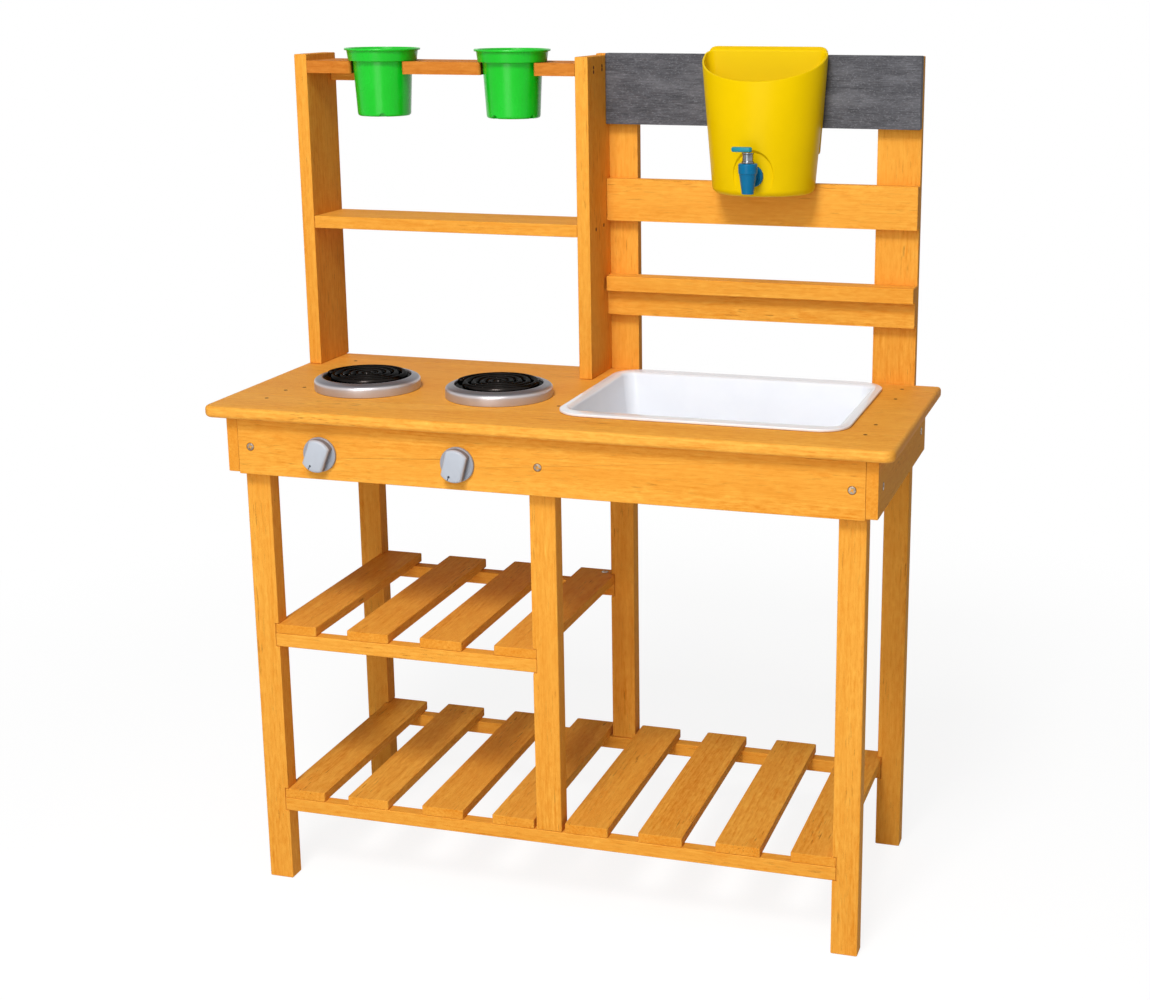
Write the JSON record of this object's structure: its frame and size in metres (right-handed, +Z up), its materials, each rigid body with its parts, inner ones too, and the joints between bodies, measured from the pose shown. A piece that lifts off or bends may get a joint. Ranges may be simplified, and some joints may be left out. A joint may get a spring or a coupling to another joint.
{
  "type": "mud kitchen",
  "caption": "Outdoor play kitchen of wooden boards: legs with slatted shelves, worktop with hotplates and lift-out basin, shelf unit with flower pots, chalkboard and hanging water tank.",
  "frame": {"origin": "on the floor, under the middle of the overall width and depth", "axes": "+X to the right along the worktop as seen from the front, +Y from the front to the back panel, +Z up"},
  "size_m": [0.9284, 0.4044, 1.152],
  "materials": {
    "honey_wood": "honey stain, satin",
    "chalkboard": "matt chalkboard coating",
    "silver_plastic": "silver, satin",
    "black_plastic": "black, glossy",
    "knob_grey": "pale blue-grey",
    "white_plastic": "white, satin",
    "green_plastic": "bright green",
    "yellow_plastic": "yellow, satin",
    "blue_plastic": "blue, glossy",
    "teal_plastic": "teal, glossy",
    "chrome": "polished",
    "steel": "zinc-plated"
  },
  "bodies": {
    "frame": {"apron_back_left": "honey_wood", "apron_back_right": "honey_wood", "apron_front": "honey_wood", "apron_left": "honey_wood", "apron_right": "honey_wood", "back_board": "honey_wood", "back_stile_left": "honey_wood", "back_stile_right": "honey_wood", "chalkboard": "chalkboard", "hotplate_coil_left": "black_plastic", "hotplate_coil_right": "black_plastic", "hotplate_ring_left": "silver_plastic", "hotplate_ring_right": "silver_plastic", "ledge_board": "honey_wood", "ledge_lip": "honey_wood", "leg_back_left": "honey_wood", "leg_back_right": "honey_wood", "leg_front_left": "honey_wood", "leg_front_right": "honey_wood", "lower_rail_back": "honey_wood", "lower_rail_front": "honey_wood", "lower_slat_1": "honey_wood", "lower_slat_2": "honey_wood", "lower_slat_3": "honey_wood", "lower_slat_4": "honey_wood", "lower_slat_5": "honey_wood", "lower_slat_6": "honey_wood", "lower_slat_7": "honey_wood", "lower_slat_8": "honey_wood", "middle_shelf": "honey_wood", "post_back_middle": "honey_wood", "post_front_middle": "honey_wood", "pot_shelf": "honey_wood", "pot_shelf_cleat": "honey_wood", "shelf_upright_left": "honey_wood", "shelf_upright_right": "honey_wood", "upper_rail_back": "honey_wood", "upper_rail_front": "honey_wood", "upper_slat_1": "honey_wood", "upper_slat_2": "honey_wood", "upper_slat_3": "honey_wood", "upper_slat_4": "honey_wood", "worktop_back_board": "honey_wood", "worktop_front_board": "honey_wood", "worktop_middle_left": "honey_wood", "worktop_middle_right": "honey_wood"},
    "knob_left": {"knob_left": "knob_grey", "knob_spindle_left": "steel"},
    "knob_right": {"knob_right": "knob_grey", "knob_spindle_right": "steel"},
    "basin": {"sink_basin": "white_plastic"},
    "pot_left": {"pot_left": "green_plastic"},
    "pot_right": {"pot_right": "green_plastic"},
    "tank": {"water_tank": "yellow_plastic", "tap_body": "blue_plastic", "tap_bonnet": "chrome", "tap_nut": "blue_plastic"},
    "lever": {"tap_lever": "teal_plastic"}
  },
  "joints": [
    {"name": "knob_left_turn", "type": "hinge", "parent": "frame", "child": "knob_left", "pos_m": [-0.3015, -0.18485, 0.6325], "axis": [0, -1, 0], "continuous": true},
    {"name": "knob_right_turn", "type": "hinge", "parent": "frame", "child": "knob_right", "pos_m": [-0.1065, -0.18485, 0.6325], "axis": [0, -1, 0], "continuous": true},
    {"name": "basin_lift", "type": "slide", "parent": "frame", "child": "basin", "axis": [0, 0, 1], "range_m": [0, 0.09]},
    {"name": "pot_left_lift", "type": "slide", "parent": "frame", "child": "pot_left", "axis": [0, 0, 1], "range_m": [0, 0.1]},
    {"name": "pot_right_lift", "type": "slide", "parent": "frame", "child": "pot_right", "axis": [0, 0, 1], "range_m": [0, 0.1]},
    {"name": "tank_lift", "type": "slide", "parent": "frame", "child": "tank", "axis": [0, 0, 1], "range_m": [0, 0.04]},
    {"name": "tap_lever_turn", "type": "hinge", "parent": "tank", "child": "lever", "pos_m": [0.2165, 0.05705, 1.019], "axis": [0, 0, 1], "range_deg": [0, 90]}
  ]
}
